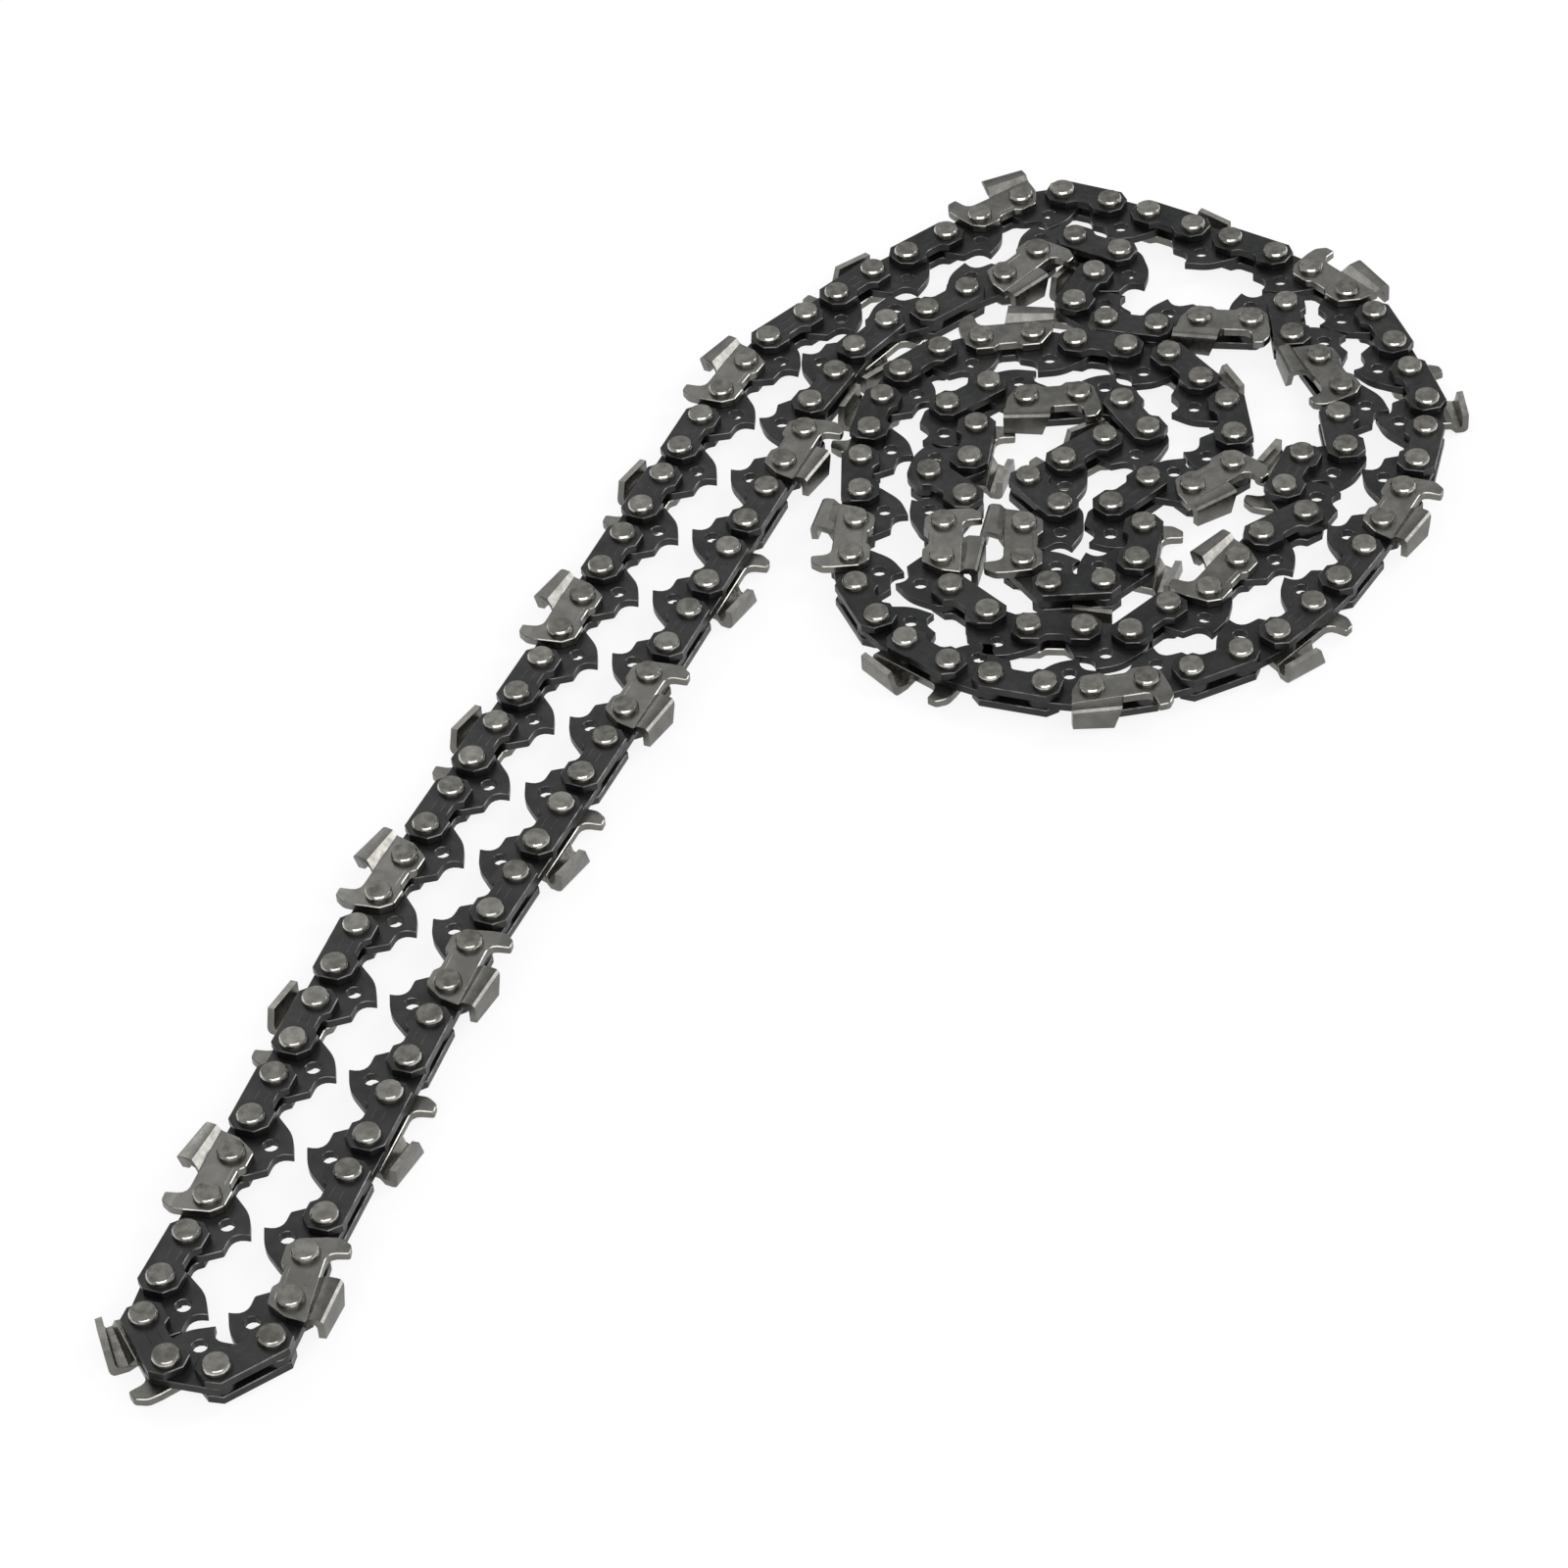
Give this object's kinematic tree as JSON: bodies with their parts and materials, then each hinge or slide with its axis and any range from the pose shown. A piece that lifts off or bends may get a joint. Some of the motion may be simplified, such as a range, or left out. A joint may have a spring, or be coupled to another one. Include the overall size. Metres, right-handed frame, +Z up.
{
  "type": "saw chain loop",
  "caption": "Loop of saw chain on its side, part in a loose coil and part in two runs that meet at a tip, with folded cutters, drive tangs and riveted straps.",
  "frame": {"origin": "middle of the base of the box round the loop as it lies", "axes": "+X from the tip of the runs towards the coil, +Z up through the thickness of the chain"},
  "size_m": [0.311, 0.135, 0.007],
  "materials": {
    "blued_steel": "dark blued, satin",
    "cutter_steel": "grey, satin, brighter on the tooth",
    "rivet_steel": "spun flat head with a bright rim"
  },
  "bodies": {
    "coil": {"coil_drive_links": "blued_steel", "coil_left_cutters": "cutter_steel", "coil_right_cutters": "cutter_steel", "coil_rivets": "rivet_steel", "coil_tie_straps": "blued_steel"},
    "left_run_1": {"left_run_1_drive_links": "blued_steel", "left_run_1_left_cutters": "cutter_steel", "left_run_1_right_cutters": "cutter_steel", "left_run_1_rivets": "rivet_steel", "left_run_1_tie_straps": "blued_steel"},
    "left_run_2": {"left_run_2_drive_links": "blued_steel", "left_run_2_left_cutters": "cutter_steel", "left_run_2_right_cutters": "cutter_steel", "left_run_2_rivets": "rivet_steel", "left_run_2_tie_straps": "blued_steel"},
    "left_run_3": {"left_run_3_drive_links": "blued_steel", "left_run_3_left_cutters": "cutter_steel", "left_run_3_right_cutters": "cutter_steel", "left_run_3_rivets": "rivet_steel", "left_run_3_tie_straps": "blued_steel"},
    "right_run_1": {"right_run_1_drive_links": "blued_steel", "right_run_1_left_cutters": "cutter_steel", "right_run_1_right_cutters": "cutter_steel", "right_run_1_rivets": "rivet_steel", "right_run_1_tie_straps": "blued_steel"},
    "right_run_2": {"right_run_2_drive_links": "blued_steel", "right_run_2_left_cutters": "cutter_steel", "right_run_2_right_cutters": "cutter_steel", "right_run_2_rivets": "rivet_steel", "right_run_2_tie_straps": "blued_steel"},
    "right_run_3": {"right_run_3_drive_links": "blued_steel", "right_run_3_left_cutters": "cutter_steel", "right_run_3_right_cutters": "cutter_steel", "right_run_3_rivets": "rivet_steel", "right_run_3_tie_straps": "blued_steel"},
    "tip": {"tip_drive_links": "blued_steel", "tip_left_cutters": "cutter_steel", "tip_right_cutters": "cutter_steel", "tip_rivets": "rivet_steel", "tip_tie_straps": "blued_steel"}
  },
  "joints": [
    {"name": "left_pivot_1", "type": "hinge", "parent": "coil", "child": "left_run_1", "pos_m": [0.07109, 0.05733, 0.0035], "axis": [0, 0, 1], "range_deg": [-4, 4]},
    {"name": "left_pivot_2", "type": "hinge", "parent": "left_run_1", "child": "left_run_2", "pos_m": [0.00506, 0.05849, 0.0035], "axis": [0, 0, 1], "range_deg": [-4, 4]},
    {"name": "left_pivot_3", "type": "hinge", "parent": "left_run_2", "child": "left_run_3", "pos_m": [-0.06094, 0.06079, 0.0035], "axis": [0, 0, 1], "range_deg": [-4, 4]},
    {"name": "tip_pivot", "type": "hinge", "parent": "left_run_3", "child": "tip", "pos_m": [-0.12689, 0.05734, 0.0035], "axis": [0, 0, 1], "range_deg": [-12, 12]},
    {"name": "right_pivot_1", "type": "hinge", "parent": "coil", "child": "right_run_1", "pos_m": [0.07309, 0.03933, 0.0035], "axis": [0, 0, 1], "range_deg": [-4, 4]},
    {"name": "right_pivot_2", "type": "hinge", "parent": "right_run_1", "child": "right_run_2", "pos_m": [0.00706, 0.04049, 0.0035], "axis": [0, 0, 1], "range_deg": [-4, 4]},
    {"name": "right_pivot_3", "type": "hinge", "parent": "right_run_2", "child": "right_run_3", "pos_m": [-0.05894, 0.04279, 0.0035], "axis": [0, 0, 1], "range_deg": [-4, 4]}
  ],
  "couplings": [
    {"joint": "left_pivot_2", "follows": "left_pivot_1", "ratio": 1},
    {"joint": "left_pivot_3", "follows": "left_pivot_1", "ratio": 1},
    {"joint": "tip_pivot", "follows": "left_pivot_1", "ratio": -3},
    {"joint": "right_pivot_1", "follows": "left_pivot_1", "ratio": 1},
    {"joint": "right_pivot_2", "follows": "left_pivot_1", "ratio": 1},
    {"joint": "right_pivot_3", "follows": "left_pivot_1", "ratio": 1}
  ]
}
